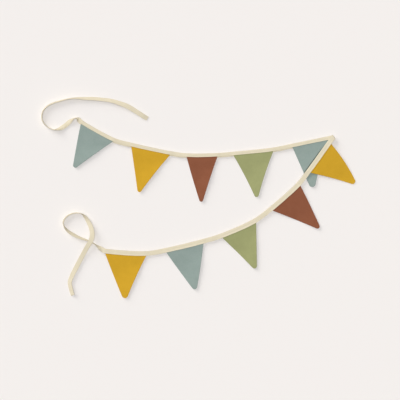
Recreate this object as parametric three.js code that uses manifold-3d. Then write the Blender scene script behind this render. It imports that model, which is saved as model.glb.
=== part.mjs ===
// Fabric bunting lying on a table: ten cotton flags sewn into one long folded tape.
// The tape starts at the free end of the upper tie and runs past flags 1 to 5. At the right-hand
// corner it is folded over itself, so its other side shows as it runs back past flags 6 to 10 and
// ends in the lower tie. Millimetres, +Z up, the table at Z = 0 and the origin under the middle.

import * as THREE from 'three';
import Module from 'manifold-3d';

const wasm = await Module();
wasm.setup();

const { degToRad, lerp, smoothstep } = THREE.MathUtils;
const UP = new THREE.Vector3(0, 0, 1);

// Tape: a strip folded lengthwise into a wide back leaf and a narrower front leaf
const TAPE_WIDTH = 16;
const FRONT_LEAF_WIDTH = 12;
const LEAF_THICKNESS = 1;
const FOLD_ROUNDING = 0.8;
// Past a flag's corner the two leaves close on each other over this length
const CLOSING_LENGTH = 12;
// The corner fold is rolled round this radius, and the upper layer sinks to the table from there
const CORNER_RADIUS = 3;
const CORNER_RUN_DOWN = 260;
// Sewn tape is stiff, and the ties stand on edge, so from flag to flag it lies this high over the table
const TAPE_LIFT = 5.5;

// Flags: two layers of cotton turned through, tucked between the leaves and sewn in
const FLAG_THICKNESS = 1;
const FLAG_TUCK = 6.75;
const CLEARANCE = 0.3;
// A flag's sides spread this much for each millimetre towards its top edge
const SIDE_SPREAD = 0.44;
// A flag leaves the tape level for this far before it sinks to the table
const LEVEL_LIP = 1;
// A lifted tip starts to rise at this share of the flag's height
const TIP_RISE_START = 0.75;

// Facets
const TIE_STEP = 7;
const RUN_STEP = 14;
// Degrees of roll from ring to ring at most
const TWIST_STEP = 8;
const CORNER_STEP = 4;
const CORNER_TURNS = 8;
const FLAG_COLUMNS = 8;
const FLAG_SIDE_ROWS = 8;
const FLAG_TIP_ROWS = 4;
// The tip's last row stops at this share of its half arc, so that it keeps some width
const TIP_ARC_SHARE = 0.8;

// Distances across the tape, from its middle: the lengthwise fold is at the positive edge
const FOLD_EDGE = TAPE_WIDTH / 2;
const BACK_EDGE = -TAPE_WIDTH / 2;
const FRONT_EDGE = FOLD_EDGE - FRONT_LEAF_WIDTH;
const TUCK_EDGE = FRONT_EDGE + FLAG_TUCK;

const CLOTHS = {
  tape: { colour: '#e2d6ba', roughness: 0.92 },
  blue: { colour: '#93a19b', roughness: 0.9 },
  mustard: { colour: '#d3a42f', roughness: 0.9 },
  rust: { colour: '#915a40', roughness: 0.9 },
  green: { colour: '#a2a573', roughness: 0.9 },
};

// Upper tie from its free end to flag 1: place of the tape's middle, its roll in degrees and its
// height over the table. At roll 0 the front leaf lies on top with the lengthwise fold on the left
// of the way along. The free end arches up a little, and the rest stands on edge.
const UPPER_TIE = [
  { x: -173, y: 268, roll: -180, lift: 0 },
  { x: -188, y: 277, roll: -180, lift: 3.5 },
  { x: -211, y: 292, roll: -180, lift: 6 },
  { x: -240, y: 309.5, roll: -176, lift: 7 },
  { x: -269, y: 320.5, roll: -160, lift: 5 },
  { x: -297, y: 329, roll: -147, lift: 2 },
  { x: -330, y: 333.5, roll: -140, lift: 0 },
  { x: -360, y: 336, roll: -138, lift: 0 },
  { x: -389, y: 336.5, roll: -130, lift: 0 },
  { x: -415, y: 337.5, roll: -112, lift: 0 },
  { x: -442, y: 335, roll: -103, lift: 0 },
  { x: -471, y: 327.5, roll: -108, lift: 0 },
  { x: -498, y: 319, roll: -108, lift: 0 },
  { x: -516, y: 308.5, roll: -105, lift: 0 },
  { x: -527.5, y: 295, roll: -104, lift: 0 },
  { x: -531.5, y: 281, roll: -104, lift: 0 },
  { x: -531, y: 266, roll: -102, lift: 0 },
  { x: -524, y: 251, roll: -98, lift: 0 },
  { x: -510, y: 238, roll: -93, lift: 0 },
  { x: -492, y: 231, roll: -86, lift: 0 },
  { x: -476, y: 233, roll: -62, lift: 0 },
  { x: -464, y: 237.5, roll: -26, lift: 0 },
  { x: -451, y: 246, roll: -15, lift: 0 },
  { x: -439, y: 256.5, roll: -22, lift: 0 },
  { x: -427, y: 266, roll: -70, lift: 0 },
  { x: -416, y: 270.5, roll: -90, lift: 0 },
  { x: -409, y: 268, roll: -48, lift: 1 },
  { x: -404, y: 261, roll: 0, lift: TAPE_LIFT },
  { x: -400.5, y: 258, roll: 0, lift: TAPE_LIFT },
];

// Lower tie from flag 10 to its free end. It stands on edge round a loop, crosses over itself and
// sinks slowly to its free end, which leans on one edge.
const LOWER_TIE = [
  { x: -320, y: -180.5, roll: 180, lift: TAPE_LIFT },
  { x: -327, y: -176.5, roll: 190, lift: 5 },
  { x: -335, y: -171, roll: 216, lift: 3 },
  { x: -342, y: -166, roll: 242, lift: 0.5 },
  { x: -350, y: -160, roll: 262, lift: 0 },
  { x: -365, y: -151, roll: 262, lift: 0 },
  { x: -382, y: -144, roll: 250, lift: 0 },
  { x: -403, y: -137, roll: 238, lift: 0 },
  { x: -423, y: -127, roll: 230, lift: 0 },
  { x: -442, y: -115, roll: 236, lift: 0 },
  { x: -454, y: -102, roll: 258, lift: 0 },
  { x: -460, y: -87, roll: 280, lift: 0 },
  { x: -456, y: -74, roll: 281, lift: 0 },
  { x: -446, y: -62.5, roll: 280, lift: 0 },
  { x: -430, y: -54.5, roll: 277, lift: 0 },
  { x: -413, y: -52, roll: 274, lift: 0 },
  { x: -397, y: -55, roll: 262, lift: 0 },
  { x: -385, y: -65, roll: 228, lift: 2 },
  { x: -373, y: -83, roll: 203, lift: 5 },
  { x: -364, y: -103, roll: 188, lift: 10 },
  { x: -360, y: -124, roll: 180, lift: 16 },
  { x: -364, y: -145, roll: 180, lift: 18.5 },
  { x: -376, y: -165, roll: 180, lift: 14 },
  { x: -389.5, y: -189, roll: 180, lift: 7.5 },
  { x: -403, y: -214, roll: 180, lift: 5 },
  { x: -416, y: -239, roll: 184, lift: 4.5 },
  { x: -429, y: -265, roll: 194, lift: 3 },
  { x: -437, y: -288, roll: 206, lift: 0 },
  { x: -432.5, y: -313, roll: 212, lift: 0 },
  { x: -427, y: -332, roll: 214, lift: 0 },
];

// Where the tape's middle meets the corner fold
const CORNER = { x: 458, y: 204 };

// Flags in order along the tape. start and end are the top corners on the tape's middle, tip is
// the lowest point of the round tip, a bulge is how far a side bows out, and sink is the length
// over which the flag comes down to the table.
const FIRST_FLAGS = [
  { name: 'flag_01', cloth: 'blue', start: [-396, 254], end: [-289, 195.4], tip: [-422, 103],
    tipRadius: 8, startBulge: 1, endBulge: -1, tipLift: 3, sink: 72 },
  { name: 'flag_02', cloth: 'mustard', start: [-227, 178], end: [-96, 150], tip: [-202, 19],
    tipRadius: 7, startBulge: 0, endBulge: -2, tipLift: 2, sink: 72 },
  { name: 'flag_03', cloth: 'rust', start: [-40, 142.5], end: [64.5, 143.5], tip: [9.5, -14],
    tipRadius: 6.5, startBulge: 1, endBulge: -1, tipLift: 3, sink: 72 },
  { name: 'flag_04', cloth: 'green', start: [119, 148], end: [253, 162], tip: [198, 2],
    tipRadius: 7.5, startBulge: -2, endBulge: -2.5, tipLift: 3, sink: 72 },
  { name: 'flag_05', cloth: 'blue', start: [318, 175], end: [444, 201], tip: [387, 36],
    tipRadius: 11, startBulge: 0, endBulge: -4, tipLift: 0, sink: 40 },
];
const SECOND_FLAGS = [
  { name: 'flag_06', cloth: 'mustard', start: [444.6, 186.4], end: [374.4, 89], tip: [531.5, 50],
    tipRadius: 9.5, startBulge: 4.5, endBulge: -2, tipLift: 4, sink: 80 },
  { name: 'flag_07', cloth: 'rust', start: [340.8, 46], end: [247.2, -38], tip: [410, -103],
    tipRadius: 7.5, startBulge: 1, endBulge: -1, tipLift: 4, sink: 72 },
  { name: 'flag_08', cloth: 'green', start: [191.8, -79], end: [78.8, -129.5], tip: [193.5, -240],
    tipRadius: 8.5, startBulge: 0, endBulge: -1, tipLift: 3, sink: 72 },
  { name: 'flag_09', cloth: 'blue', start: [15, -149], end: [-110, -179], tip: [-11, -311],
    tipRadius: 9, startBulge: 1, endBulge: 1, tipLift: 3, sink: 72 },
  { name: 'flag_10', cloth: 'mustard', start: [-178, -190], end: [-315, -182], tip: [-250, -341.5],
    tipRadius: 10.5, startBulge: -2, endBulge: 1, tipLift: 2, sink: 72 },
];

// Rows of a run's centre line at a flag's two top corners
function flagStations(flag, roll, liftAt) {
  const station = ([x, y], flagAfter) => ({ x, y, roll, lift: liftAt(x, y), flagAfter });
  return [station(flag.start, true), station(flag.end, false)];
}

// The upper layer's height over the table falls with the distance from the corner fold.
function cornerLift(x, y) {
  const distance = Math.hypot(x - CORNER.x, y - CORNER.y);
  return TAPE_LIFT + 2 * CORNER_RADIUS * (1 - smoothstep(distance, 0, CORNER_RUN_DOWN));
}

function makeRun(rows) {
  const points = rows.map((row) => new THREE.Vector3(row.x, row.y, 0));
  const curve = new THREE.CatmullRomCurve3(points, false, 'centripetal');
  return { rows, points, curve };
}

const firstRun = makeRun([
  ...UPPER_TIE,
  ...FIRST_FLAGS.flatMap((flag) => flagStations(flag, 0, () => TAPE_LIFT)),
  { ...CORNER, roll: 0, lift: TAPE_LIFT },
]);
const secondRun = makeRun([
  { ...CORNER, roll: 180, lift: TAPE_LIFT + 2 * CORNER_RADIUS },
  ...SECOND_FLAGS.flatMap((flag) => flagStations(flag, 180, cornerLift)),
  ...LOWER_TIE,
]);

function segmentLength(run, index) {
  return run.points[index].distanceTo(run.points[index + 1]);
}

// Value of a column between two rows, on a cubic that never overshoots either of them
function columnAt(rows, column, place) {
  const value = (index) => rows[index]?.[column];
  const slope = (index) => {
    const before = value(index) - value(index - 1);
    const after = value(index + 1) - value(index);
    return before * after > 0 ? (2 * before * after) / (before + after) : 0;
  };
  const index = Math.min(Math.max(Math.floor(place), 0), rows.length - 2);
  const f = place - index;
  const g = 1 - f;
  return value(index) * g * g * (1 + 2 * f) + slope(index) * f * g * g
    + value(index + 1) * f * f * (3 - 2 * f) - slope(index + 1) * f * f * g;
}

// How far the leaves stand open: 1 along a flag, 0 where the tape is closed
function openingAt(run, place) {
  const index = Math.min(Math.floor(place), run.rows.length - 2);
  if (run.rows[index].flagAfter) return 1;
  const length = segmentLength(run, index);
  const afterFlag = run.rows[index - 1]?.flagAfter ? (place - index) * length : Infinity;
  const beforeFlag = run.rows[index + 1].flagAfter ? (index + 1 - place) * length : Infinity;
  return 1 - smoothstep(Math.min(afterFlag, beforeFlag), 0, CLOSING_LENGTH);
}

// The tape's own directions at a place along a run: along it, across it towards its lengthwise
// fold, and out of its front leaf. Its lowest edge rests on the table where lift is 0.
function tapeFrame(run, place) {
  const t = place / (run.rows.length - 1);
  const centre = run.curve.getPoint(t);
  const along = run.curve.getTangent(t);
  const left = new THREE.Vector3(-along.y, along.x, 0);
  const roll = degToRad(columnAt(run.rows, 'roll', place));
  const across = left.clone().multiplyScalar(Math.cos(roll)).addScaledVector(UP, Math.sin(roll));
  const facing = left.clone().multiplyScalar(-Math.sin(roll)).addScaledVector(UP, Math.cos(roll));
  const half = LEAF_THICKNESS + openingAt(run, place) * (FLAG_THICKNESS / 2 + CLEARANCE);
  centre.z = columnAt(run.rows, 'lift', place)
    + Math.abs(Math.sin(roll)) * TAPE_WIDTH / 2 + Math.abs(Math.cos(roll)) * half;
  return { centre, along, across, facing, half };
}

// A point of the tape, from its distance across and its distance out of the middle plane.
// A skew slants the line across the tape, as the corner fold does.
function tapePoint(frame, across, out, skew = 0) {
  return frame.centre.clone()
    .addScaledVector(frame.along, skew * across)
    .addScaledVector(frame.across, across)
    .addScaledVector(frame.facing, out);
}

// Section of the folded tape, anticlockwise: [across, out]
function tapeSection(half) {
  const step = LEAF_THICKNESS - half;
  return [
    [BACK_EDGE, -half],
    [FOLD_EDGE - FOLD_ROUNDING, -half],
    [FOLD_EDGE, 0],
    [FOLD_EDGE - FOLD_ROUNDING, half],
    [FRONT_EDGE, half],
    [FRONT_EDGE, step],
    [BACK_EDGE, step],
  ];
}

// Places of a run's rings, from one row to another: short steps in the ties, in a twist and at the
// corner
function ringPlaces(run, stepAt) {
  const places = [0];
  for (let index = 0; index < run.rows.length - 1; index += 1) {
    const bySize = Math.round(segmentLength(run, index) / stepAt(index));
    const byTwist = Math.ceil(Math.abs(run.rows[index + 1].roll - run.rows[index].roll) / TWIST_STEP);
    const steps = Math.max(1, bySize, byTwist);
    for (let i = 1; i <= steps; i += 1) places.push(index + i / steps);
  }
  return places;
}

function indexedGeometry(points, triangles) {
  const geometry = new THREE.BufferGeometry().setFromPoints(points);
  geometry.setIndex(triangles);
  return geometry;
}

// A closed body through rings of points, with flat ends. section gives the ends' outline.
function loft(rings, section) {
  const sides = section.length;
  const triangles = [];
  for (let ring = 0; ring < rings.length - 1; ring += 1) {
    for (let i = 0; i < sides; i += 1) {
      const near = ring * sides + i;
      const next = ring * sides + ((i + 1) % sides);
      triangles.push(near, next, next + sides, near, next + sides, near + sides);
    }
  }
  const outline = section.map(([across, out]) => new THREE.Vector2(across, out));
  const last = (rings.length - 1) * sides;
  for (const [a, b, c] of THREE.ShapeUtils.triangulateShape(outline, [])) {
    triangles.push(a, c, b, last + a, last + b, last + c);
  }
  return indexedGeometry(rings.flat(), triangles);
}

// A closed sheet about rows of middle points that run left to right, from the top row down
function sheet(rows, thickness) {
  const columns = rows[0].length;
  const middle = rows.flat();
  const shifted = (height) => middle.map((point) => point.clone().addScaledVector(UP, height));
  const below = middle.length;
  const triangles = [];
  for (let row = 0; row < rows.length - 1; row += 1) {
    for (let column = 0; column < columns - 1; column += 1) {
      const a = row * columns + column;
      const b = a + columns;
      triangles.push(a, b, b + 1, a, b + 1, a + 1);
      triangles.push(below + a, below + b + 1, below + b, below + a, below + a + 1, below + b + 1);
    }
  }
  const lastRow = rows.length - 1;
  const rim = [];
  for (let row = 0; row < lastRow; row += 1) rim.push(row * columns);
  for (let column = 0; column < columns - 1; column += 1) rim.push(lastRow * columns + column);
  for (let row = lastRow; row > 0; row -= 1) rim.push(row * columns + columns - 1);
  for (let column = columns - 1; column > 0; column -= 1) rim.push(column);
  rim.forEach((point, index) => {
    const next = rim[(index + 1) % rim.length];
    triangles.push(below + point, below + next, next, below + point, next, point);
  });
  return indexedGeometry([...shifted(thickness / 2), ...shifted(-thickness / 2)], triangles);
}

function toSolid(geometry) {
  const vertProperties = new Float32Array(geometry.attributes.position.array);
  const triVerts = new Uint32Array(geometry.index.array);
  return new wasm.Manifold(new wasm.Mesh({ numProp: 3, vertProperties, triVerts }));
}

function fromSolid(solid) {
  const { vertProperties, triVerts } = solid.getMesh();
  const geometry = new THREE.BufferGeometry();
  geometry.setAttribute('position', new THREE.BufferAttribute(vertProperties, 3));
  geometry.setIndex(new THREE.BufferAttribute(triVerts, 1));
  return geometry;
}

// Rings of the whole tape: the first run, the roll of the corner fold, then the second run
function tapeRings() {
  const firstLast = firstRun.rows.length - 1;
  const arriving = tapeFrame(firstRun, firstLast);
  const leaving = tapeFrame(secondRun, 0);
  const foldLine = arriving.along.clone().add(leaving.along).normalize();
  const skew = foldLine.dot(arriving.along) / foldLine.dot(arriving.across);
  const outward = new THREE.Vector3(-foldLine.y, foldLine.x, 0);

  const ring = (run, place, share) => {
    const frame = tapeFrame(run, place);
    return tapeSection(frame.half).map(([across, out]) => tapePoint(frame, across, out, skew * share));
  };
  const rolledRing = (angle) => tapeSection(arriving.half).map(([across, out]) => {
    const point = tapePoint(arriving, across, 0, skew);
    const radius = CORNER_RADIUS - out;
    point.addScaledVector(outward, Math.sin(angle) * radius);
    return point.addScaledVector(UP, CORNER_RADIUS - Math.cos(angle) * radius);
  });

  const firstStep = (index) => {
    if (index < UPPER_TIE.length) return TIE_STEP;
    return index === firstLast - 1 ? CORNER_STEP : RUN_STEP;
  };
  const secondStep = (index) => {
    if (index > 2 * SECOND_FLAGS.length - 1) return TIE_STEP;
    return index === 0 ? CORNER_STEP : RUN_STEP;
  };
  const rings = [];
  for (const place of ringPlaces(firstRun, firstStep)) {
    rings.push(ring(firstRun, place, Math.max(0, place - firstLast + 1)));
  }
  for (let turn = 1; turn < CORNER_TURNS; turn += 1) {
    rings.push(rolledRing((Math.PI * turn) / CORNER_TURNS));
  }
  for (const place of ringPlaces(secondRun, secondStep)) {
    rings.push(ring(secondRun, place, Math.max(0, 1 - place)));
  }
  return rings;
}

// Place on a run at a distance along it from one of its rows
function placeFrom(run, row, distance) {
  const length = segmentLength(run, row);
  if (distance < 0) return row + distance / segmentLength(run, row - 1);
  if (distance > length) return row + 1 + (distance - length) / segmentLength(run, row + 1);
  return row + distance / length;
}

// Distance along the tape from a flag's first corner. Seen from above with the tape at the top,
// u runs from 0 at its left side to 1 at its right side, and the sides spread towards the top.
function flagDistance(flag, u, across) {
  const visibleEdge = flag.mirrored ? BACK_EDGE : FRONT_EDGE;
  const spread = SIDE_SPREAD * (across - visibleEdge);
  const length = segmentLength(flag.run, flag.row);
  return length / 2 + (flag.mirrored ? 0.5 - u : u - 0.5) * (length + 2 * spread);
}

function flagEdgePoint(flag, u, across) {
  const place = placeFrom(flag.run, flag.row, flagDistance(flag, u, across));
  return tapePoint(tapeFrame(flag.run, place), across, 0);
}

// The room for a flag's top edge between the leaves
function flagPocket(flag) {
  const halfGap = FLAG_THICKNESS / 2 + CLEARANCE;
  const section = [
    [BACK_EDGE - 2 * LEVEL_LIP, -halfGap],
    [TUCK_EDGE + CLEARANCE, -halfGap],
    [TUCK_EDGE + CLEARANCE, halfGap],
    [BACK_EDGE - 2 * LEVEL_LIP, halfGap],
  ];
  const sides = [flagDistance(flag, 0, TUCK_EDGE), flagDistance(flag, 1, TUCK_EDGE)];
  const from = Math.min(...sides) - CLEARANCE;
  const to = Math.max(...sides) + CLEARANCE;
  const steps = Math.round((to - from) / RUN_STEP);
  const rings = [];
  for (let i = 0; i <= steps; i += 1) {
    const place = placeFrom(flag.run, flag.row, lerp(from, to, i / steps));
    const frame = tapeFrame(flag.run, place);
    rings.push(section.map(([across, out]) => tapePoint(frame, across, out)));
  }
  return loft(rings, section);
}

function flat(point) {
  return new THREE.Vector2(point.x, point.y);
}

// Left and right points of a flag's outline, row by row: the bowed sides, then the round tip
function flagOutline(flag, left, right) {
  const [leftBulge, rightBulge] = flag.mirrored
    ? [flag.endBulge, flag.startBulge] : [flag.startBulge, flag.endBulge];
  const tip = new THREE.Vector2(...flag.tip);
  const top = left.clone().add(right).multiplyScalar(0.5);
  const inward = top.clone().sub(tip).normalize();
  const centre = tip.clone().addScaledVector(inward, flag.tipRadius);
  const tangentAngle = (corner, turn) => {
    const reach = corner.clone().sub(centre);
    return reach.angle() + turn * Math.acos(flag.tipRadius / reach.length());
  };
  const onTip = (angle) => new THREE.Vector2(Math.cos(angle), Math.sin(angle))
    .multiplyScalar(flag.tipRadius).add(centre);
  const leftAngle = tangentAngle(left, 1);
  let rightAngle = tangentAngle(right, -1);
  while (rightAngle < leftAngle) rightAngle += 2 * Math.PI;
  const halfArc = (rightAngle - leftAngle) / 2;

  const onSide = (corner, angle, bulge, t) => {
    const outward = new THREE.Vector2(Math.cos(angle), Math.sin(angle));
    return corner.clone().lerp(onTip(angle), t).addScaledVector(outward, 4 * bulge * t * (1 - t));
  };
  const outline = [];
  for (let i = 0; i <= FLAG_SIDE_ROWS; i += 1) {
    const t = i / FLAG_SIDE_ROWS;
    outline.push([onSide(left, leftAngle, leftBulge, t), onSide(right, rightAngle, rightBulge, t)]);
  }
  for (let i = 1; i <= FLAG_TIP_ROWS; i += 1) {
    const turn = (halfArc * TIP_ARC_SHARE * i) / FLAG_TIP_ROWS;
    outline.push([onTip(leftAngle + turn), onTip(rightAngle - turn)]);
  }
  return outline;
}

// Middle points of a flag: its tucked top edge, then its body down to the tip. The body sinks
// from the tape to the table, lies flat there, and its tip may lift a little.
function flagRows(flag) {
  const shares = Array.from({ length: FLAG_COLUMNS + 1 }, (_, column) => column / FLAG_COLUMNS);
  const tucked = shares.map((u) => flagEdgePoint(flag, u, TUCK_EDGE));
  const lip = shares.map((u) => flagEdgePoint(flag, u, BACK_EDGE - LEVEL_LIP));
  const left = flat(lip[0]);
  const right = flat(lip[FLAG_COLUMNS]);
  const top = left.clone().add(right).multiplyScalar(0.5);
  const height = top.distanceTo(new THREE.Vector2(...flag.tip));

  const body = flagOutline(flag, left, right).map(([leftPoint, rightPoint]) => {
    const down = leftPoint.clone().add(rightPoint).multiplyScalar(0.5).distanceTo(top);
    const sunk = smoothstep(down, 0, flag.sink);
    const straightened = (1 - down / height) ** 2;
    const tipLift = flag.tipLift * smoothstep(down / height, TIP_RISE_START, 1);
    return shares.map((u, column) => {
      const bow = flat(lip[column]).sub(left.clone().lerp(right, u)).multiplyScalar(straightened);
      const place = leftPoint.clone().lerp(rightPoint, u).add(bow);
      const rest = FLAG_THICKNESS / 2 + tipLift;
      return new THREE.Vector3(place.x, place.y, lerp(lip[column].z, rest, sunk));
    });
  });
  return [tucked, ...body];
}

function clothMesh(name, cloth, geometry) {
  const { colour, roughness } = CLOTHS[cloth];
  const material = new THREE.MeshStandardMaterial({ color: colour, roughness, metalness: 0 });
  const mesh = new THREE.Mesh(geometry, material);
  mesh.name = name;
  return mesh;
}

const flags = [
  ...FIRST_FLAGS.map((flag, index) => (
    { ...flag, run: firstRun, row: UPPER_TIE.length + 2 * index, mirrored: false })),
  ...SECOND_FLAGS.map((flag, index) => (
    { ...flag, run: secondRun, row: 1 + 2 * index, mirrored: true })),
];

const strip = toSolid(loft(tapeRings(), tapeSection(LEAF_THICKNESS)));
const tape = flags.reduce((solid, flag) => solid.subtract(toSolid(flagPocket(flag))), strip);

const bunting = new THREE.Group();
bunting.name = 'bunting';
bunting.add(clothMesh('tape', 'tape', fromSolid(tape)));
for (const flag of flags) {
  bunting.add(clothMesh(flag.name, flag.cloth, sheet(flagRows(flag), FLAG_THICKNESS)));
}

export default bunting;
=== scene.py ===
# %% [markdown]
# # A fabric bunting, laid out on a table
# Ten small cotton flags are sewn into one long folded cotton tape. The tape lies in a wide bow, is
# folded back over itself at the right, and ends in two loose ties. The imported part gives the true
# place of every piece, so it is loaded first.

# %% The imported part
import math
from collections import namedtuple

import bmesh
import bpy
import numpy as np
from mathutils import Matrix, Vector


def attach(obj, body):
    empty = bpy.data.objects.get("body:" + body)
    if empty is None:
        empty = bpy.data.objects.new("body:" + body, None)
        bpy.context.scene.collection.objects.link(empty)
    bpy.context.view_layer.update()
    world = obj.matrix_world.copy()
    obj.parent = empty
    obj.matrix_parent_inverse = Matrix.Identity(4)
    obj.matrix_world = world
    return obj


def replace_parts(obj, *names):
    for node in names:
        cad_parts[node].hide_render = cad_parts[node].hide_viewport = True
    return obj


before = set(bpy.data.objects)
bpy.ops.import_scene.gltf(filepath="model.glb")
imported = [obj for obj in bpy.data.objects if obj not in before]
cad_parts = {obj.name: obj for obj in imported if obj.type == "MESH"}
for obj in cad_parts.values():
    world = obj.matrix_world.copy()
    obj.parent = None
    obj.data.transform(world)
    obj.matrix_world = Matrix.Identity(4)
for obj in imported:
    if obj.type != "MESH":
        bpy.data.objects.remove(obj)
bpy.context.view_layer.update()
scene = bpy.context.scene
MM = 0.001
print("nodes:", ", ".join(sorted(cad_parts)))

# %% [markdown]
# ## Camera
# The picture was taken from straight above. A camera without any turn looks down already, with +Y
# up in the picture. An orthographic camera would do as well, but a long lens keeps the slight
# widening of things that stand up, as a real one does. Its height follows from the width it sees.

# %% Camera straight above the table
VIEW_WIDTH = 1.36
VIEW_CENTRE = (0.0054, -0.0082)
LENS_MM = 200.0
SENSOR_MM = 36.0

camera_data = bpy.data.cameras.new("overhead_camera")
camera_data.lens = LENS_MM
camera_data.sensor_width = SENSOR_MM
camera = bpy.data.objects.new("overhead_camera", camera_data)
camera.location = (*VIEW_CENTRE, VIEW_WIDTH * LENS_MM / SENSOR_MM)
scene.collection.objects.link(camera)
scene.camera = camera
print(f"camera {camera.location.z:.2f} m above the table")

# %% [markdown]
# ## Colour and nodes
# Colours are written as the hex values that a paint program shows. A shader works in linear light,
# so one function turns them. Another adds a node, sets it and links it, which keeps the materials
# below short enough to read as a recipe.

# %% Helpers for materials
def linear(hex_colour):
    """An sRGB hex colour as linear red, green, blue and alpha."""
    channels = [int(hex_colour[i:i + 2], 16) / 255 for i in (1, 3, 5)]
    return (*(c / 12.92 if c <= 0.04045 else ((c + 0.055) / 1.055) ** 2.4 for c in channels), 1.0)


def add_node(tree, kind, inputs=None, **settings):
    """A new node with its settings; each input is a value or the socket that feeds it."""
    node = tree.nodes.new(kind)
    for name, value in settings.items():
        setattr(node, name, value)
    for name, value in (inputs or {}).items():
        if isinstance(value, bpy.types.NodeSocket):
            tree.links.new(value, node.inputs[name])
        else:
            node.inputs[name].default_value = value
    return node


def new_material(name):
    """An empty node material and its shader, already joined to the output."""
    material = bpy.data.materials.new(name)
    material.use_nodes = True
    tree = material.node_tree
    tree.nodes.clear()
    shader = add_node(tree, "ShaderNodeBsdfPrincipled")
    add_node(tree, "ShaderNodeOutputMaterial", {"Surface": shader.outputs["BSDF"]})
    return material, tree, shader


scene.view_settings.view_transform = "Standard"
print("mustard in linear light:", [round(c, 3) for c in linear("#d2a42d")])

# %% [markdown]
# ## Table and light
# The table is a wide matte pale board. The light in the picture is very soft: most of it comes from
# above, and the rest from a wide window at the upper left, so every edge has a pale blurred shadow on
# its lower right. Area lamps would change over a metre of table. A sun lamp keeps one direction
# everywhere, and a wide angle makes it soft, so one serves as the window and one as the ceiling.

# %% Pale table, window and ceiling light
TABLE_SIZE = 200.0
# The board lies a hair lower than the part, so no face of the cloth shares its plane
TABLE_DROP = 0.0003
Lamp = namedtuple("Lamp", "name elevation azimuth width strength colour")
LAMPS = [
    Lamp("window_light", 29.0, 135.0, 40.0, 1.78, "#fffdf9"),
    Lamp("ceiling_light", 90.0, 0.0, 24.0, 2.03, "#ffffff"),
]
FILL_STRENGTH = 0.13
LAMP_DISTANCE = 3.0

board, _, board_shader = new_material("painted_board")
board_shader.inputs["Base Color"].default_value = linear("#efebe9")
board_shader.inputs["Roughness"].default_value = 0.9
board_shader.inputs["Specular IOR Level"].default_value = 0.1

bm = bmesh.new()
bmesh.ops.create_grid(bm, x_segments=1, y_segments=1, size=TABLE_SIZE / 2,
                      matrix=Matrix.Translation((0, 0, -TABLE_DROP)))
table_mesh = bpy.data.meshes.new("table")
bm.to_mesh(table_mesh)
bm.free()
table_mesh.materials.append(board)
table = bpy.data.objects.new("table", table_mesh)
scene.collection.objects.link(table)

for lamp in LAMPS:
    data = bpy.data.lights.new(lamp.name, "SUN")
    data.energy = lamp.strength
    data.angle = math.radians(lamp.width)
    data.color = linear(lamp.colour)[:3]
    light = bpy.data.objects.new(lamp.name, data)
    level, turn = math.radians(lamp.elevation), math.radians(lamp.azimuth)
    towards = Vector((math.cos(level) * math.cos(turn), math.cos(level) * math.sin(turn), math.sin(level)))
    light.rotation_euler = towards.to_track_quat("Z", "Y").to_euler()
    light.location = towards * LAMP_DISTANCE
    scene.collection.objects.link(light)

world = bpy.data.worlds.new("soft_room")
world.use_nodes = True
world.node_tree.nodes.clear()
sky = add_node(world.node_tree, "ShaderNodeBackground",
               {"Color": linear("#ffffff"), "Strength": FILL_STRENGTH})
add_node(world.node_tree, "ShaderNodeOutputWorld", {"Surface": sky.outputs["Background"]})
scene.world = world
print("lamps:", ", ".join(f"{lamp.name} {lamp.elevation:.0f} degrees up" for lamp in LAMPS))

# %% [markdown]
# ## Woven cotton
# Both flags and tape are plain-woven cotton: warp and weft threads pass over and under each other,
# so each crossing is a small bump, some threads are thicker than others (slubs), and the dye takes
# unevenly. A printed picture of cloth would show that too, but nodes stay sharp at any distance.
# Every sheet carries an attribute with its own flat place in metres, so the threads follow the cloth
# through each fold. Cotton is dull, with a faint sheen of loose fibres.

# %% Plain-woven cotton
FLAT_PLACE = "flat_place"
# Real threads lie about 0.5 mm apart. They are drawn wider, or no picture of the whole would show them.
FLAG_THREAD = 1.3 * MM
TAPE_THREAD = 1.0 * MM
# A wave texture repeats after this length at scale 1
WAVE_LENGTH = 2 * math.pi / 20
THREAD_RELIEF = 0.25 * MM
SLUB_LENGTH, SLUB_WIDTH = 14 * MM, 1.6 * MM
CLOUD_SIZE = 26 * MM
# How much each pattern adds to the dye, and the sums at which the dye is darkest and lightest
WEAVE_SHARE, SLUB_SHARE, CLOUD_SHARE = 0.22, 0.34, 0.44
DYE_RANGE = (0.47, 0.87)
SLUB_RELIEF = 0.5
FLAG_BUMP, TAPE_BUMP = 0.35, 0.3


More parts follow.
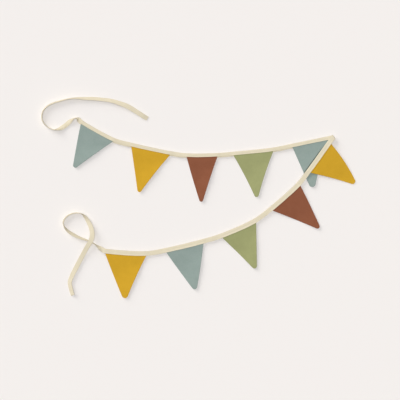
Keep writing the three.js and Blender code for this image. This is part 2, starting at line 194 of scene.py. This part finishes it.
def woven_cotton(name, shade, light, thread, bump):
    """Plain-woven cotton whose dye varies between two hex colours."""
    material, tree, shader = new_material(name)
    place = add_node(tree, "ShaderNodeAttribute", attribute_name=FLAT_PLACE).outputs["Vector"]
    ribs = [add_node(tree, "ShaderNodeTexWave",
                     {"Vector": place, "Scale": WAVE_LENGTH / thread, "Distortion": 0.6,
                      "Detail": 1.0, "Detail Scale": 0.35},
                     bands_direction=way).outputs["Fac"] for way in "XY"]
    over = add_node(tree, "ShaderNodeTexChecker", {"Vector": place, "Scale": 1 / thread})
    weave = add_node(tree, "ShaderNodeMix",
                     {"Factor": over.outputs["Fac"], "A": ribs[0], "B": ribs[1]}).outputs["Result"]

    slubs = []
    for length, width in ((SLUB_LENGTH, SLUB_WIDTH), (SLUB_WIDTH, SLUB_LENGTH)):
        stretched = add_node(tree, "ShaderNodeMapping",
                             {"Vector": place, "Scale": (1 / length, 1 / width, 1)})
        slubs.append(add_node(tree, "ShaderNodeTexNoise",
                              {"Vector": stretched.outputs["Vector"], "Scale": 1.0}).outputs["Fac"])
    slub = add_node(tree, "ShaderNodeMath", {0: slubs[0], 1: slubs[1]}, operation="ADD").outputs["Value"]
    cloud = add_node(tree, "ShaderNodeTexNoise", {"Vector": place, "Scale": 1 / CLOUD_SIZE}).outputs["Fac"]

    dye = add_node(tree, "ShaderNodeMath", {0: weave, 1: WEAVE_SHARE}, operation="MULTIPLY").outputs["Value"]
    for pattern, share in ((slub, SLUB_SHARE), (cloud, CLOUD_SHARE)):
        dye = add_node(tree, "ShaderNodeMath", {0: pattern, 1: share, 2: dye},
                       operation="MULTIPLY_ADD").outputs["Value"]
    ramp = add_node(tree, "ShaderNodeValToRGB", {"Fac": dye})
    for stop, position, colour in zip(ramp.color_ramp.elements, DYE_RANGE, (shade, light)):
        stop.position = position
        stop.color = linear(colour)

    height = add_node(tree, "ShaderNodeMath", {0: slub, 1: SLUB_RELIEF, 2: weave}, operation="MULTIPLY_ADD")
    relief = add_node(tree, "ShaderNodeBump",
                      {"Height": height.outputs["Value"], "Strength": bump, "Distance": THREAD_RELIEF})
    tree.links.new(ramp.outputs["Color"], shader.inputs["Base Color"])
    tree.links.new(relief.outputs["Normal"], shader.inputs["Normal"])
    shader.inputs["Roughness"].default_value = 0.9
    shader.inputs["Specular IOR Level"].default_value = 0.12
    shader.inputs["Sheen Weight"].default_value = 0.04
    shader.inputs["Sheen Roughness"].default_value = 0.6
    return material


flag_cottons = {
    "blue": woven_cotton("blue_grey_dyed_cotton", "#8b9b95", "#96a49f", FLAG_THREAD, FLAG_BUMP),
    "mustard": woven_cotton("mustard_dyed_cotton", "#c89c28", "#d2a42d", FLAG_THREAD, FLAG_BUMP),
    "rust": woven_cotton("rust_dyed_cotton", "#865139", "#8f5941", FLAG_THREAD, FLAG_BUMP),
    "green": woven_cotton("sage_green_dyed_cotton", "#989b6c", "#a1a473", FLAG_THREAD, FLAG_BUMP),
}
tape_cotton = woven_cotton("unbleached_tape_cotton", "#dad0b7", "#e3d9c0", TAPE_THREAD, TAPE_BUMP)
print("cottons:", ", ".join(m.name for m in [*flag_cottons.values(), tape_cotton]))

# %% [markdown]
# ## The tape's route
# The tape is one strip, so its shape is a route: places along its middle, how far it is rolled about
# its own length there, and how high it lies. At roll 0 it lies flat with its narrow front leaf on top,
# at 180 with its wide back leaf on top, and at 90 it stands on edge. A curve object could follow the
# same points, but its tilt would be hard to read, so the numbers are kept in tables like a pattern.
# Between the ties it lies at one even height over the table, and higher only near the corner, where
# it comes back over itself.

# %% Tables of the route, in millimetres and degrees
TAPE_WIDTH, FRONT_LEAF_WIDTH, LEAF_THICKNESS = 16.0, 12.0, 1.0
CLOSING_LENGTH, CORNER_RADIUS, CORNER_RUN_DOWN = 12.0, 3.0, 260.0
TAPE_LIFT = 5.5
FLAG_THICKNESS, FLAG_TUCK, FLAG_CLEARANCE = 1.0, 6.75, 0.3
SIDE_SPREAD, LEVEL_LIP, TIP_RISE_START = 0.44, 1.0, 0.5
FOLD_EDGE, BACK_EDGE = TAPE_WIDTH / 2, -TAPE_WIDTH / 2
FRONT_EDGE = FOLD_EDGE - FRONT_LEAF_WIDTH
TUCK_EDGE = FRONT_EDGE + FLAG_TUCK

Row = namedtuple("Row", "x y roll lift flag_after", defaults=(0.0, False))
UPPER_TIE = [Row(*row) for row in (
    (-173, 268, -180, 0), (-188, 277, -180, 3.5), (-211, 292, -180, 6), (-240, 309.5, -176, 7),
    (-269, 320.5, -160, 5), (-297, 329, -147, 2), (-330, 333.5, -140), (-360, 336, -138),
    (-389, 336.5, -130), (-415, 337.5, -112), (-442, 335, -103), (-471, 327.5, -108), (-498, 319, -108),
    (-516, 308.5, -105), (-527.5, 295, -104), (-531.5, 281, -104), (-531, 266, -102), (-524, 251, -98),
    (-510, 238, -93), (-492, 231, -86), (-476, 233, -62), (-464, 237.5, -26), (-451, 246, -15),
    (-439, 256.5, -22), (-427, 266, -70), (-416, 270.5, -90), (-409, 268, -48, 1.0),
    (-404, 261, 0, TAPE_LIFT), (-400.5, 258, 0, TAPE_LIFT),
)]
LOWER_TIE = [Row(*row) for row in (
    (-320, -180.5, 180, TAPE_LIFT), (-327, -176.5, 190, 5), (-335, -171, 216, 3), (-342, -166, 242, 0.5),
    (-350, -160, 262), (-365, -151, 262), (-382, -144, 250), (-403, -137, 238), (-423, -127, 230),
    (-442, -115, 236), (-454, -102, 258), (-460, -87, 280), (-456, -74, 281), (-446, -62.5, 280),
    (-430, -54.5, 277), (-413, -52, 274), (-397, -55, 262), (-385, -65, 228, 2), (-373, -83, 203, 5),
    (-364, -103, 188, 10), (-360, -124, 180, 16), (-364, -145, 180, 18.5), (-376, -165, 180, 14),
    (-389.5, -189, 180, 7.5), (-403, -214, 180, 5), (-416, -239, 184, 4.5), (-429, -265, 194, 3),
    (-437, -288, 206), (-432.5, -313, 212), (-427, -332, 214),
)]
CORNER = (458, 204)

Flag = namedtuple("Flag", "name cloth start end tip tip_radius start_bulge end_bulge tip_lift sink "
                          "right_lift ripple")
FIRST_FLAGS = [Flag(*row) for row in (
    ("flag_01", "blue", (-396, 254), (-289, 195.4), (-422, 103), 8, 1, -1, 6.0, 72, 7.5, 0.6),
    ("flag_02", "mustard", (-227, 178), (-96, 150), (-202, 19), 7, 0, -2, 6.0, 72, 7.5, 0.5),
    ("flag_03", "rust", (-40, 142.5), (64.5, 143.5), (9.5, -14), 6.5, 1, -1, 6.0, 72, 7.5, 0.6),
    ("flag_04", "green", (119, 148), (253, 162), (198, 2), 7.5, -2, -2.5, 6.0, 72, 7.5, 0.5),
    ("flag_05", "blue", (318, 175), (444, 201), (387, 36), 11, 0, -4, 5.0, 60, 3.0, 0.0),
)]
SECOND_FLAGS = [Flag(*row) for row in (
    ("flag_06", "mustard", (444.6, 186.4), (374.4, 89), (531.5, 50), 9.5, 4.5, -2, 1.2, 130, 2.5, 0.0),
    ("flag_07", "rust", (340.8, 46), (247.2, -38), (410, -103), 7.5, 1, -1, 5.0, 100, 3.0, 0.0),
    ("flag_08", "green", (191.8, -79), (78.8, -129.5), (193.5, -240), 8.5, 0, -1, 6.0, 72, 7.0, 0.5),
    ("flag_09", "blue", (15, -149), (-110, -179), (-11, -311), 9, 1, 1, 6.0, 72, 7.5, 0.5),
    ("flag_10", "mustard", (-178, -190), (-315, -182), (-250, -341.5), 10.5, -2, 1, 6.0, 72, 7.5, 0.5),
)]
print(len(UPPER_TIE) + len(LOWER_TIE), "places on the ties,", len(FIRST_FLAGS + SECOND_FLAGS), "flags")

# %% [markdown]
# ## Frames along the route
# A smooth curve through the places gives the way along the tape. With the roll, that gives three
# directions at any place: along, across towards the lengthwise fold, and out of the front leaf. The
# roll and lift are blended so that they never overshoot a table row, or flat cloth would wobble.

# %% A smooth route with the tape's own directions
Place = namedtuple("Place", "centre along across facing half")
UP = Vector((0, 0, 1))


def smoothstep(value, low, high):
    t = min(max((value - low) / (high - low), 0), 1)
    return t * t * (3 - 2 * t)


def corner_lift(x, y):
    """How far the tape's upper layer lies above the even height, down to 0 away from the corner fold."""
    return 2 * CORNER_RADIUS * (1 - smoothstep(math.dist((x, y), CORNER), 0, CORNER_RUN_DOWN))


def flag_stations(flag, roll, lifted):
    """The two rows of the route where a flag starts and ends."""
    for (x, y), after in ((flag.start, True), (flag.end, False)):
        yield Row(x, y, roll, TAPE_LIFT + (corner_lift(x, y) if lifted else 0.0), after)


first_run = [*UPPER_TIE, *(row for flag in FIRST_FLAGS for row in flag_stations(flag, 0, False)),
             Row(*CORNER, 0, TAPE_LIFT)]
second_run = [Row(*CORNER, 180, TAPE_LIFT + 2 * CORNER_RADIUS),
              *(row for flag in SECOND_FLAGS for row in flag_stations(flag, 180, True)), *LOWER_TIE]


def flat_point(row):
    return Vector((row.x, row.y, 0))


def segment_length(run, index):
    return (flat_point(run[index + 1]) - flat_point(run[index])).length


def curve_at(run, place):
    """Point and direction on a centripetal curve through a run's rows."""
    index = min(max(int(place), 0), len(run) - 2)
    t = place - index
    b, c = flat_point(run[index]), flat_point(run[index + 1])
    a = flat_point(run[index - 1]) if index else 2 * b - c
    d = flat_point(run[index + 2]) if index + 2 < len(run) else 2 * c - b
    before, span, after = ((q - p).length ** 0.5 for p, q in ((a, b), (b, c), (c, d)))
    leave = span * ((b - a) / before - (c - a) / (before + span) + (c - b) / span)
    reach = span * ((c - b) / span - (d - b) / (span + after) + (d - c) / after)
    point = (b * (2 * t**3 - 3 * t**2 + 1) + leave * (t**3 - 2 * t**2 + t)
             + c * (3 * t**2 - 2 * t**3) + reach * (t**3 - t**2))
    slope = (b * (6 * t**2 - 6 * t) + leave * (3 * t**2 - 4 * t + 1)
             + c * (6 * t - 6 * t**2) + reach * (3 * t**2 - 2 * t))
    return point, slope.normalized()


def column_at(run, column, place):
    """Value of a table column between two rows, which never overshoots them."""
    index = min(max(int(place), 0), len(run) - 2)
    values = [getattr(row, column) for row in run]

    def slope(i):
        if i in (0, len(values) - 1):
            return 0.0
        before, after = values[i] - values[i - 1], values[i + 1] - values[i]
        return 2 * before * after / (before + after) if before * after > 0 else 0.0

    f = place - index
    g = 1 - f
    return (values[index] * g * g * (1 + 2 * f) + slope(index) * f * g * g
            + values[index + 1] * f * f * (3 - 2 * f) - slope(index + 1) * f * f * g)


def opening_at(run, place):
    """1 where a flag holds the leaves apart, 0 where the tape is closed."""
    index = min(int(place), len(run) - 2)
    if run[index].flag_after:
        return 1.0
    length = segment_length(run, index)
    gaps = [CLOSING_LENGTH]
    if index and run[index - 1].flag_after:
        gaps.append((place - index) * length)
    # The lower tie's first row lies closer than the closing length, so the flag before it counts too
    if index > 1 and run[index - 2].flag_after:
        gaps.append((place - index) * length + segment_length(run, index - 1))
    if run[index + 1].flag_after:
        gaps.append((index + 1 - place) * length)
    return 1 - smoothstep(min(gaps), 0, CLOSING_LENGTH)


def tape_place(run, place):
    """The tape's middle, its three directions and half its thickness at a place on a run."""
    centre, along = curve_at(run, place)
    left = Vector((-along.y, along.x, 0))
    roll = math.radians(column_at(run, "roll", place))
    across = left * math.cos(roll) + UP * math.sin(roll)
    facing = UP * math.cos(roll) - left * math.sin(roll)
    half = LEAF_THICKNESS + opening_at(run, place) * (FLAG_THICKNESS / 2 + FLAG_CLEARANCE)
    centre.z = (column_at(run, "lift", place) + abs(math.sin(roll)) * TAPE_WIDTH / 2
                + abs(math.cos(roll)) * half)
    return Place(centre, along, across, facing, half)


def tape_point(place, across, out, skew=0.0):
    """A point of the tape's section. A skew slants the line across the tape."""
    return place.centre + place.along * skew * across + place.across * across + place.facing * out


for name, run in (("first", first_run), ("second", second_run)):
    print(name, "run:", round(sum(segment_length(run, i) for i in range(len(run) - 1))), "mm")

# %% [markdown]
# ## Stations from end to end
# The tape is measured off in short steps. At the corner it is folded over along a slanted line, so the
# lines across it slant towards that line first, then turn over round a small roll of cloth, and
# straighten out again. Each station holds a function that places a point of the tape's section.

# %% Stations along the whole tape
TIE_STEP, RUN_STEP, CORNER_STEP, CORNER_TURNS, TWIST_STEP = 3.5, 5.0, 2.5, 14, 8.0
Station = namedtuple("Station", "point facing half")


def run_places(run, step_of):
    """Places along a run in short steps, shorter where the tape twists."""
    yield 0.0
    for index in range(len(run) - 1):
        twist = abs(run[index + 1].roll - run[index].roll)
        steps = max(1, round(segment_length(run, index) / step_of(index)), math.ceil(twist / TWIST_STEP))
        for i in range(1, steps + 1):
            yield index + i / steps


def tape_stations():
    """Stations from the upper tie's free end, round the corner fold, to the lower tie's free end."""
    first_last = len(first_run) - 1
    lower_tie_start = 2 * len(SECOND_FLAGS)
    arriving, leaving = tape_place(first_run, first_last), tape_place(second_run, 0)
    fold_line = (arriving.along + leaving.along).normalized()
    skew = fold_line.dot(arriving.along) / fold_line.dot(arriving.across)
    outward = Vector((-fold_line.y, fold_line.x, 0))

    def flat(run, place, share):
        here = tape_place(run, place)

        def point(across, out):
            return tape_point(here, across, out, skew * share)
        return Station(point, here.facing, here.half)

    def rolled(angle):
        def point(across, out):
            radius = CORNER_RADIUS - out
            return (tape_point(arriving, across, 0, skew) + outward * math.sin(angle) * radius
                    + UP * (CORNER_RADIUS - math.cos(angle) * radius))
        return Station(point, UP * math.cos(angle) - outward * math.sin(angle), arriving.half)

    def step(tie, corner):
        return TIE_STEP if tie else CORNER_STEP if corner else RUN_STEP

    for place in run_places(first_run, lambda i: step(i < len(UPPER_TIE), i == first_last - 1)):
        yield flat(first_run, place, max(0.0, place - first_last + 1))
    for turn in range(1, CORNER_TURNS):
        yield rolled(math.pi * turn / CORNER_TURNS)
    for place in run_places(second_run, lambda i: step(i >= lower_tie_start, i == 0)):
        yield flat(second_run, place, max(0.0, 1 - place))


stations = list(tape_stations())
middles = [station.point(0, 0) for station in stations]
distances = np.concatenate([[0.0], np.cumsum([(b - a).length for a, b in zip(middles, middles[1:])])])
print(len(stations), "stations over", round(distances[-1]), "mm of tape")

# %% [markdown]
# ## The folded tape
# A maker folds a strip of cotton lengthwise over the flags' top edges and sews it shut, so the tape is
# one sheet: a wide back leaf, a round fold and a narrower front leaf. A flat grid has the right
# neighbours for that, so it is made with one operator, and each of its points is then moved to its
# place in the folded section. The seam presses the leaves together in a shallow groove. Solidify
# gives the cloth its thickness, and Bevel rounds its turned-in edges.

# %% Tape as one folded sheet
LEAF_CLOTH = 0.9
EDGE_STEPS, LEAF_STEPS, FOLD_STEPS = 2, 3, 6
SEAM_INSET, SEAM_GROOVE_WIDTH = 2.4, 1.3
SEAM_LINE = FRONT_EDGE + SEAM_INSET
# Depth of the groove in the closed tape, and how much deeper it is for each mm of spread
GROOVE_LEAST, GROOVE_SHARE = 0.04, 0.3
EDGE_WAVER, EDGE_FLARE = 0.3, 1.1
# Two waves make up the waver: share, mm per radian and how far a shift moves the wave
WAVES = ((0.6, 17.0, 1.0), (0.4, 6.1, 2.3))
BACK_SHIFT, FRONT_SHIFT = 0.4, 1.9
TAPE_EDGE_ROUND, SHARP_ANGLE = 0.3, 60.0


def waver(distance, shift):
    """A hand-sewn edge wanders a little: from -1 to 1 along the tape."""
    return sum(share * math.sin(distance / length + speed * shift) for share, length, speed in WAVES)


def groove(across, half):
    """How deep the seam presses a leaf in."""
    depth = GROOVE_LEAST + GROOVE_SHARE * (half - LEAF_THICKNESS)
    return depth * math.exp(-((across - SEAM_LINE) / SEAM_GROOVE_WIDTH) ** 2)


def flare(across, edge, half):
    """Past the seam the upper leaf stands off the flag a little."""
    return EDGE_FLARE * (half - LEAF_THICKNESS) * max(0.0, (SEAM_LINE - across) / (SEAM_LINE - edge)) ** 2


def leaf_places(edge, turn_centre):
    """Places across a leaf, from its free edge to the fold, closer together at the seam."""
    return [*np.linspace(edge, SEAM_LINE - SEAM_GROOVE_WIDTH, EDGE_STEPS + 1), SEAM_LINE,
            *np.linspace(SEAM_LINE + SEAM_GROOVE_WIDTH, turn_centre, LEAF_STEPS + 1)]


def tape_section(half, distance, front_on_top):
    """Points round the folded cloth, as (across, out)."""
    spread = half - LEAF_THICKNESS / 2
    turn_centre = FOLD_EDGE - LEAF_THICKNESS / 2 - spread
    back = leaf_places(BACK_EDGE + EDGE_WAVER * (1 + waver(distance, BACK_SHIFT)), turn_centre)
    front = reversed(leaf_places(FRONT_EDGE + EDGE_WAVER * waver(distance, FRONT_SHIFT), turn_centre))
    back_flare, front_flare = (0, 1) if front_on_top else (1, 0)
    points = [(across, groove(across, half) - spread - back_flare * flare(across, BACK_EDGE, half))
              for across in back]
    for i in range(1, FOLD_STEPS):
        angle = math.pi * (i / FOLD_STEPS - 0.5)
        points.append((turn_centre + spread * math.cos(angle), spread * math.sin(angle)))
    return points + [(across, spread - groove(across, half) + front_flare * flare(across, FRONT_EDGE, half))
                     for across in front]


def cloth_grid(rows, columns):
    """A flat grid as a bmesh, its points with their row and column, and the layer of flat places."""
    bm = bmesh.new()
    bmesh.ops.create_grid(bm, x_segments=rows - 1, y_segments=columns - 1, size=0.5)
    flat_places = bm.verts.layers.float_vector.new(FLAT_PLACE)
    points = [(v, round((v.co.x + 0.5) * (rows - 1)), round((v.co.y + 0.5) * (columns - 1)))
              for v in bm.verts]
    return bm, points, flat_places


def finish_cloth(name, bm, material, thickness, edge_round):
    """A cloth object from a mesh of its middle surface."""
    bmesh.ops.recalc_face_normals(bm, faces=bm.faces)
    for face in bm.faces:
        face.smooth = True
    mesh = bpy.data.meshes.new(name)
    bm.to_mesh(mesh)
    bm.free()
    mesh.materials.append(material)
    cloth = bpy.data.objects.new(name, mesh)
    scene.collection.objects.link(cloth)
    body = cloth.modifiers.new("cloth_thickness", "SOLIDIFY")
    body.thickness = thickness * MM
    body.offset = 0.0
    edge = cloth.modifiers.new("turned_edges", "BEVEL")
    edge.width = edge_round * MM
    edge.segments = 2
    edge.limit_method = "ANGLE"
    edge.angle_limit = math.radians(SHARP_ANGLE)
    return cloth


sections = [tape_section(station.half, distance, station.facing.z > 0)
            for station, distance in zip(stations, distances)]
bm, points, flat_places = cloth_grid(len(stations), len(sections[0]))
for vertex, row, column in points:
    across, out = sections[row][column]
    vertex.co = stations[row].point(across, out) * MM
    wrapped = across if out < 0 else 2 * FOLD_EDGE - across
    vertex[flat_places] = Vector((distances[row], wrapped, 0)) * MM
tape = finish_cloth("tape_cloth", bm, tape_cotton, LEAF_CLOTH, TAPE_EDGE_ROUND)
print("tape:", len(tape.data.polygons), "faces before it gets its thickness")

# %% [markdown]
# ## The flags
# Each flag is two triangles of cotton sewn together along two sides and turned right side out, so its
# sides and round tip are soft double edges with the seam allowance inside. Its top edge is tucked
# between the tape's leaves. Pressed cotton lies nearly flat, but the right sides and the tips stand a
# few millimetres off the table, which is what throws the soft shadows, and the fifth flag puffs up
# beside the tape that crosses it. Again a grid is bent to the shape, row by row from the tape to the
# tip, with its outer columns at fixed distances from the edge for the seam.

# %% Flags as double sheets
SEAM_STEPS = (0.0, 0.8, 2.2, 4.6, 7.0)
SEAM_RIDGE = (0.0, 0.12, 0.26, 0.22, 0.0)
# A row narrower than this many seam widths squeezes its two seams
SEAM_ROOM = 3.2
MIDDLE_COLUMNS, SIDE_ROWS, FINE = 24, 40, 3
TIP_ROWS, TIP_ARC_SHARE = 9, 0.93
# The tape comes back across this flag after the corner
PRESSED_FLAG, PRESSED_PUFF, PRESSED_DIP, PUFF_REACH = "flag_05", 6.0, 3.5, 80.0
TUCK_ROWS = (TUCK_EDGE, FRONT_EDGE, BACK_EDGE + LEVEL_LIP)
# Distances down from the tape, or widths of a row, over which each effect sets in
LIFT_REACH, PRESS_REACH = (4.0, 60.0), (2.0, 14.0)
RIDGE_REACH, RIDGE_WIDTHS = (1.0, 8.0), (4.0, 24.0)
LIFT_POWER, RIPPLE_ANGLE, RIPPLE_LENGTH = 1.5, 2.2 * math.pi, 31.0
# Each flag is cut from its own place on the bolt of cloth
BOLT_STEP = Vector((210.0, 130.0, 0))
FLAG_EDGE_ROUND = 0.4


def place_from(run, row, distance):
    """Place on a run at a distance along it from one of its rows."""
    length = segment_length(run, row)
    if distance < 0:
        return row + distance / segment_length(run, row - 1)
    if distance > length:
        return row + 1 + (distance - length) / segment_length(run, row + 1)
    return row + distance / length


def flag_edge_point(seat, u, across):
    """Point of a flag's top part: u runs from its left side to its right, seen with the tape on top."""
    run, row, mirrored = seat
    visible_edge = BACK_EDGE if mirrored else FRONT_EDGE
    length = segment_length(run, row)
    # A maker clips a flag's top corners, so its sides run straight up inside the tape
    width = length + 2 * SIDE_SPREAD * min(across - visible_edge, 0)
    distance = length / 2 + (0.5 - u if mirrored else u - 0.5) * width
    return tape_point(tape_place(run, place_from(run, row, distance)), across, 0)


def fineness(flag):
    """The flag that the tape crosses needs smaller steps for its sharp dip."""
    return FINE if flag.name == PRESSED_FLAG else 1


def flag_outline(flag, mirrored, left, right):
    """Left and right points of the outline, from the tape to the tip."""
    bulges = (flag.end_bulge, flag.start_bulge) if mirrored else (flag.start_bulge, flag.end_bulge)
    tip = Vector(flag.tip)
    centre = tip + ((left + right) / 2 - tip).normalized() * flag.tip_radius

    def on_circle(angle):
        return Vector((math.cos(angle), math.sin(angle)))

    angles = []
    for corner, turn in ((left, 1), (right, -1)):
        reach = corner - centre
        angles.append(math.atan2(reach.y, reach.x) + turn * math.acos(flag.tip_radius / reach.length))
    while angles[1] < angles[0]:
        angles[1] += 2 * math.pi
    half_arc = (angles[1] - angles[0]) / 2
    rows = SIDE_ROWS * fineness(flag)
    sides = list(zip((left, right), map(on_circle, angles), bulges))
    for i in range(rows + 1):
        t = i / rows
        # Halfway down, a side bows out by its whole bulge
        yield [corner.lerp(centre + outward * flag.tip_radius, t) + outward * 4 * bulge * t * (1 - t)
               for corner, outward, bulge in sides]
    for i in range(1, TIP_ROWS + 1):
        turn = half_arc * TIP_ARC_SHARE * i / TIP_ROWS
        yield [centre + on_circle(angle) * flag.tip_radius for angle in (angles[0] + turn, angles[1] - turn)]


def flag_columns(flag, width):
    """Shares of a row's width: fixed seam distances at both edges, even steps between."""
    squeeze = min(1.0, width / (SEAM_ROOM * SEAM_STEPS[-1]))
    seam = [step * squeeze / width for step in SEAM_STEPS]
    inner = np.linspace(seam[-1], 1 - seam[-1], MIDDLE_COLUMNS * fineness(flag) + 1)[1:-1]
    return [*seam, *inner, *(1 - share for share in reversed(seam))]


def press(point):
    """Height of cloth that puffs up beside the tape crossing it and dips steeply under it."""
    start, end = Vector(SECOND_FLAGS[0].start), Vector(SECOND_FLAGS[0].end)
    along = (end - start).normalized()
    beside = (point - start).dot(Vector((along.y, -along.x))) - FOLD_EDGE
    return PRESSED_PUFF * smoothstep(beside, 0, PRESSED_DIP) * smoothstep(beside, PUFF_REACH, PRESSED_DIP)


def flag_rows(flag, seat):
    """Middle points of the flag, row by row."""
    mirrored = seat[2]

    def edge(u, across):
        return flag_edge_point(seat, u, across)

    for across in TUCK_ROWS:
        yield [edge(u, across) for u in flag_columns(flag, (edge(1, across) - edge(0, across)).length)]
    lip = BACK_EDGE - LEVEL_LIP
    left, right = edge(0, lip).xy, edge(1, lip).xy
    top = (left + right) / 2
    height = (Vector(flag.tip) - top).length
    ridges = [*SEAM_RIDGE, *[0.0] * (MIDDLE_COLUMNS * fineness(flag) - 1), *reversed(SEAM_RIDGE)]
    for left_point, right_point in flag_outline(flag, mirrored, left, right):
        down = ((left_point + right_point) / 2 - top).length
        width = (right_point - left_point).length
        sunk = smoothstep(down, 0, flag.sink)
        free = smoothstep(down, *LIFT_REACH)
        tip_share = smoothstep(down / height, TIP_RISE_START, 1)
        row = []
        for u, ridge in zip(flag_columns(flag, width), ridges):
            start = edge(u, lip)
            bow = (start.xy - left.lerp(right, u)) * (1 - down / height) ** 2
            tilt = flag.right_lift * u ** LIFT_POWER
            ripple = flag.ripple * (1 + math.sin(RIPPLE_ANGLE * u + down / RIPPLE_LENGTH)) / 2
            lift = (tilt + ripple) * free * (1 - tip_share) + flag.tip_lift * tip_share
            place = left_point.lerp(right_point, u) + bow
            if flag.name == PRESSED_FLAG:
                lift += press(place) * smoothstep(down, *PRESS_REACH)
            rest = (FLAG_THICKNESS / 2 + lift
                    + ridge * smoothstep(down, *RIDGE_REACH) * smoothstep(width, *RIDGE_WIDTHS))
            row.append(Vector((*place, start.z + (rest - start.z) * sunk)))
        yield row


def make_flag(flag, seat, index):
    """A flag's cloth, with its flat places measured along and down from its top edge."""
    rows = list(flag_rows(flag, seat))
    top = (rows[0][0] + rows[0][-1]) / 2
    along = (rows[0][-1] - rows[0][0]).normalized()
    down = Vector((along.y, -along.x, 0))
    start = BOLT_STEP * (index + 1)
    bm, points, flat_places = cloth_grid(len(rows), len(rows[0]))
    for vertex, row, column in points:
        place = rows[row][column]
        vertex.co = place * MM
        vertex[flat_places] = (start + Vector(((place - top).dot(along), (place - top).dot(down), 0))) * MM
    return finish_cloth(flag.name + "_cloth", bm, flag_cottons[flag.cloth], FLAG_THICKNESS, FLAG_EDGE_ROUND)


seats = [(first_run, len(UPPER_TIE) + 2 * i, False) for i in range(len(FIRST_FLAGS))]
seats += [(second_run, 1 + 2 * i, True) for i in range(len(SECOND_FLAGS))]
flags = {flag: make_flag(flag, seat, index)
         for index, (flag, seat) in enumerate(zip(FIRST_FLAGS + SECOND_FLAGS, seats))}
print("flags:", ", ".join(flag.name for flag in flags))

# %% [markdown]
# ## The seam
# One row of machine stitches runs along the tape and holds everything. Each stitch is a short thick
# bit of thread that dips into the cloth at both ends. One is shaped from a small sphere, and copies of
# it are set along both leaves as one joined mesh, because over a thousand objects would be slow.

# %% Sewing thread and stitches
STITCH_PITCH, STITCH_LENGTH, STITCH_WIDTH, STITCH_HEIGHT = 3.4, 2.8, 0.7, 0.5
THREAD_MOTTLE = 1.5 * MM

thread, thread_tree, thread_shader = new_material("cream_polyester_thread")
twist = add_node(thread_tree, "ShaderNodeTexNoise",
                 {"Vector": add_node(thread_tree, "ShaderNodeTexCoord").outputs["Object"],
                  "Scale": 1 / THREAD_MOTTLE})
tint = add_node(thread_tree, "ShaderNodeValToRGB", {"Fac": twist.outputs["Fac"]})
for stop, colour in zip(tint.color_ramp.elements, ("#cfc2a4", "#e6dcc4")):
    stop.color = linear(colour)
thread_tree.links.new(tint.outputs["Color"], thread_shader.inputs["Base Color"])
thread_shader.inputs["Roughness"].default_value = 0.6

bm = bmesh.new()
bmesh.ops.create_uvsphere(bm, u_segments=6, v_segments=4, radius=0.5)
bmesh.ops.rotate(bm, verts=bm.verts, matrix=Matrix.Rotation(math.pi / 2, 3, "Y"))
bmesh.ops.scale(bm, verts=bm.verts, vec=(STITCH_LENGTH, STITCH_WIDTH, STITCH_HEIGHT))
bm.verts.ensure_lookup_table()
stitch_points = np.array([v.co[:] for v in bm.verts])
# The operator lists its faces in another order each run, so they are sorted
stitch_faces = sorted([v.index for v in face.verts] for face in bm.faces)
bm.free()


def seam_row(side):
    """Points of every stitch on one leaf: 1 is the front leaf, -1 the back leaf."""
    surface = []
    for station in stations:
        out = station.half - LEAF_THICKNESS / 2 + LEAF_CLOTH / 2 - groove(SEAM_LINE, station.half)
        surface.append(station.point(SEAM_LINE, side * out))
    facing = np.array([side * station.facing for station in stations])
    surface = np.array(surface)
    centres = np.arange(STITCH_PITCH, distances[-1] - STITCH_PITCH, STITCH_PITCH)

    def at(values, where):
        return np.stack([np.interp(where, distances, values[:, axis]) for axis in range(3)], axis=1)

    ahead = at(surface, centres + STITCH_LENGTH / 2) - at(surface, centres - STITCH_LENGTH / 2)
    ahead /= np.linalg.norm(ahead, axis=1, keepdims=True)
    aside = np.cross(at(facing, centres), ahead)
    aside /= np.linalg.norm(aside, axis=1, keepdims=True)
    upward = np.cross(ahead, aside)
    axes = np.stack([ahead, aside, upward], axis=1)
    return at(surface, centres)[:, None, :] + np.einsum("pk,nkc->npc", stitch_points, axes)


placed = np.concatenate([seam_row(1), seam_row(-1)])
count, size = placed.shape[:2]
faces = [[corner + size * copy for corner in face] for copy in range(count) for face in stitch_faces]
seam_mesh = bpy.data.meshes.new("seam_stitches")
seam_mesh.from_pydata((placed.reshape(-1, 3) * MM).tolist(), [], faces)
seam_mesh.polygons.foreach_set("use_smooth", [True] * len(faces))
seam_mesh.materials.append(thread)
stitches = bpy.data.objects.new("seam_stitches", seam_mesh)
scene.collection.objects.link(stitches)
print(count, "stitches")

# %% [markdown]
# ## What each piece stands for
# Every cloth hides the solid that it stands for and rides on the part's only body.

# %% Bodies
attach(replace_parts(tape, "tape"), "root")
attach(stitches, "root")
for flag, cloth in flags.items():
    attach(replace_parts(cloth, flag.name), "root")
    ends = Vector(flag.start), Vector(flag.end)
    height = (Vector(flag.tip) - (ends[0] + ends[1]) / 2).length + FLAG_TUCK
